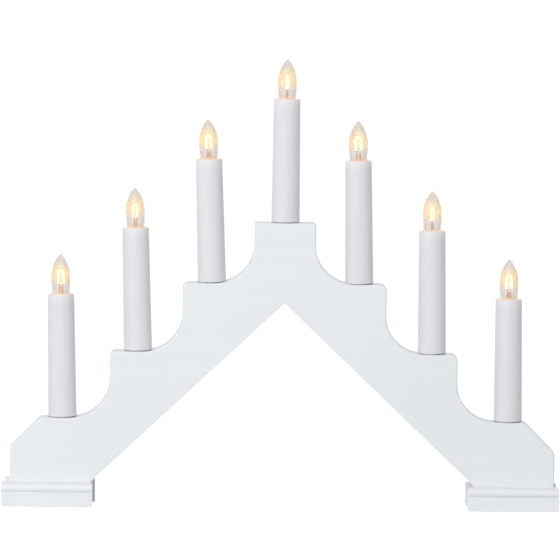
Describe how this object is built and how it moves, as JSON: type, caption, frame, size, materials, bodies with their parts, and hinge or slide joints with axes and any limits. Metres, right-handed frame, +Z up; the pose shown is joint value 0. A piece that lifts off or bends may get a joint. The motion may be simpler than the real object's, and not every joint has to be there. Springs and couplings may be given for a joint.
{
  "type": "candle arch",
  "caption": "Electric candle arch: a white stepped board with a V notch and moulded feet carries upright candle sleeves with screw-in lamps, wired through a channel in its back.",
  "frame": {"origin": "middle of the footprint, on the surface that the feet stand on", "axes": "+X along the arch's width, +Y from its front to its back, +Z up"},
  "size_m": [0.399, 0.048, 0.3208],
  "materials": {
    "white_lacquer": "satin white lacquer",
    "candle_plastic": "moulded, half gloss",
    "socket_plastic": "moulded",
    "nickel": "nickel plated",
    "brass": "drawn",
    "lamp_glass": "clear",
    "filament": "lit, warm white",
    "wire_insulation": "extruded",
    "grommet_rubber": "moulded",
    "screw_steel": "zinc plated",
    "dowel_beech": "planed"
  },
  "bodies": {
    "arch": {"arch_board": "white_lacquer", "foot_front_left": "white_lacquer", "foot_rear_left": "white_lacquer", "foot_front_right": "white_lacquer", "foot_rear_right": "white_lacquer", "foot_dowels": "dowel_beech", "wiring_cover_left": "white_lacquer", "wiring_cover_right": "white_lacquer", "cover_screws": "screw_steel", "cord_grommet": "grommet_rubber", "link_wires": "wire_insulation", "feed_wire": "wire_insulation", "return_wire": "wire_insulation", "sleeve_plugs": "socket_plastic", "screw_shells": "brass", "candle_sleeve_1": "candle_plastic", "candle_sleeve_2": "candle_plastic", "candle_sleeve_3": "candle_plastic", "candle_sleeve_4": "candle_plastic", "candle_sleeve_5": "candle_plastic", "candle_sleeve_6": "candle_plastic", "candle_sleeve_7": "candle_plastic", "lamp_holder_1": "socket_plastic", "lamp_holder_2": "socket_plastic", "lamp_holder_3": "socket_plastic", "lamp_holder_4": "socket_plastic", "lamp_holder_5": "socket_plastic", "lamp_holder_6": "socket_plastic", "lamp_holder_7": "socket_plastic"},
    "contact_1": {"centre_contact_1": "brass"},
    "lamp_1": {"lamp_cap_1": "nickel", "lamp_glass_1": "lamp_glass", "lamp_filament_1": "filament"},
    "contact_2": {"centre_contact_2": "brass"},
    "lamp_2": {"lamp_cap_2": "nickel", "lamp_glass_2": "lamp_glass", "lamp_filament_2": "filament"},
    "contact_3": {"centre_contact_3": "brass"},
    "lamp_3": {"lamp_cap_3": "nickel", "lamp_glass_3": "lamp_glass", "lamp_filament_3": "filament"},
    "contact_4": {"centre_contact_4": "brass"},
    "lamp_4": {"lamp_cap_4": "nickel", "lamp_glass_4": "lamp_glass", "lamp_filament_4": "filament"},
    "contact_5": {"centre_contact_5": "brass"},
    "lamp_5": {"lamp_cap_5": "nickel", "lamp_glass_5": "lamp_glass", "lamp_filament_5": "filament"},
    "contact_6": {"centre_contact_6": "brass"},
    "lamp_6": {"lamp_cap_6": "nickel", "lamp_glass_6": "lamp_glass", "lamp_filament_6": "filament"},
    "contact_7": {"centre_contact_7": "brass"},
    "lamp_7": {"lamp_cap_7": "nickel", "lamp_glass_7": "lamp_glass", "lamp_filament_7": "filament"}
  },
  "joints": [
    {"name": "lamp_1_lift", "type": "slide", "parent": "arch", "child": "contact_1", "axis": [-0.0227, 0, 0.9997], "range_m": [0, 0.00182]},
    {"name": "lamp_1_turn", "type": "hinge", "parent": "contact_1", "child": "lamp_1", "pos_m": [-0.15834, 0, 0.13708], "axis": [-0.0227, 0, 0.9997], "range_deg": [0, 360]},
    {"name": "lamp_2_lift", "type": "slide", "parent": "arch", "child": "contact_2", "axis": [-0.0314, 0, 0.9995], "range_m": [0, 0.00182]},
    {"name": "lamp_2_turn", "type": "hinge", "parent": "contact_2", "child": "lamp_2", "pos_m": [-0.10539, 0, 0.18536], "axis": [-0.0314, 0, 0.9995], "range_deg": [0, 360]},
    {"name": "lamp_3_lift", "type": "slide", "parent": "arch", "child": "contact_3", "axis": [-0.0366, 0, 0.9993], "range_m": [0, 0.00182]},
    {"name": "lamp_3_turn", "type": "hinge", "parent": "contact_3", "child": "lamp_3", "pos_m": [-0.05338, 0, 0.23505], "axis": [-0.0366, 0, 0.9993], "range_deg": [0, 360]},
    {"name": "lamp_4_lift", "type": "slide", "parent": "arch", "child": "contact_4", "axis": [0, 0, 1], "range_m": [0, 0.00182]},
    {"name": "lamp_4_turn", "type": "hinge", "parent": "contact_4", "child": "lamp_4", "pos_m": [0.00145, 0, 0.2786], "axis": [0, 0, 1], "range_deg": [0, 360]},
    {"name": "lamp_5_lift", "type": "slide", "parent": "arch", "child": "contact_5", "axis": [-0.0209, 0, 0.9998], "range_m": [0, 0.00182]},
    {"name": "lamp_5_turn", "type": "hinge", "parent": "contact_5", "child": "lamp_5", "pos_m": [0.05339, 0, 0.23508], "axis": [-0.0209, 0, 0.9998], "range_deg": [0, 360]},
    {"name": "lamp_6_lift", "type": "slide", "parent": "arch", "child": "contact_6", "axis": [-0.0122, 0, 0.9999], "range_m": [0, 0.00182]},
    {"name": "lamp_6_turn", "type": "hinge", "parent": "contact_6", "child": "lamp_6", "pos_m": [0.10694, 0, 0.18539], "axis": [-0.0122, 0, 0.9999], "range_deg": [0, 360]},
    {"name": "lamp_7_lift", "type": "slide", "parent": "arch", "child": "contact_7", "axis": [-0.007, 0, 1], "range_m": [0, 0.00182]},
    {"name": "lamp_7_turn", "type": "hinge", "parent": "contact_7", "child": "lamp_7", "pos_m": [0.16263, 0, 0.1371], "axis": [-0.007, 0, 1], "range_deg": [0, 360]}
  ],
  "couplings": [
    {"joint": "lamp_1_lift", "follows": "lamp_1_turn", "m_per_rad": 0.00028871},
    {"joint": "lamp_2_lift", "follows": "lamp_2_turn", "m_per_rad": 0.00028871},
    {"joint": "lamp_3_lift", "follows": "lamp_3_turn", "m_per_rad": 0.00028871},
    {"joint": "lamp_4_lift", "follows": "lamp_4_turn", "m_per_rad": 0.00028871},
    {"joint": "lamp_5_lift", "follows": "lamp_5_turn", "m_per_rad": 0.00028871},
    {"joint": "lamp_6_lift", "follows": "lamp_6_turn", "m_per_rad": 0.00028871},
    {"joint": "lamp_7_lift", "follows": "lamp_7_turn", "m_per_rad": 0.00028871}
  ]
}
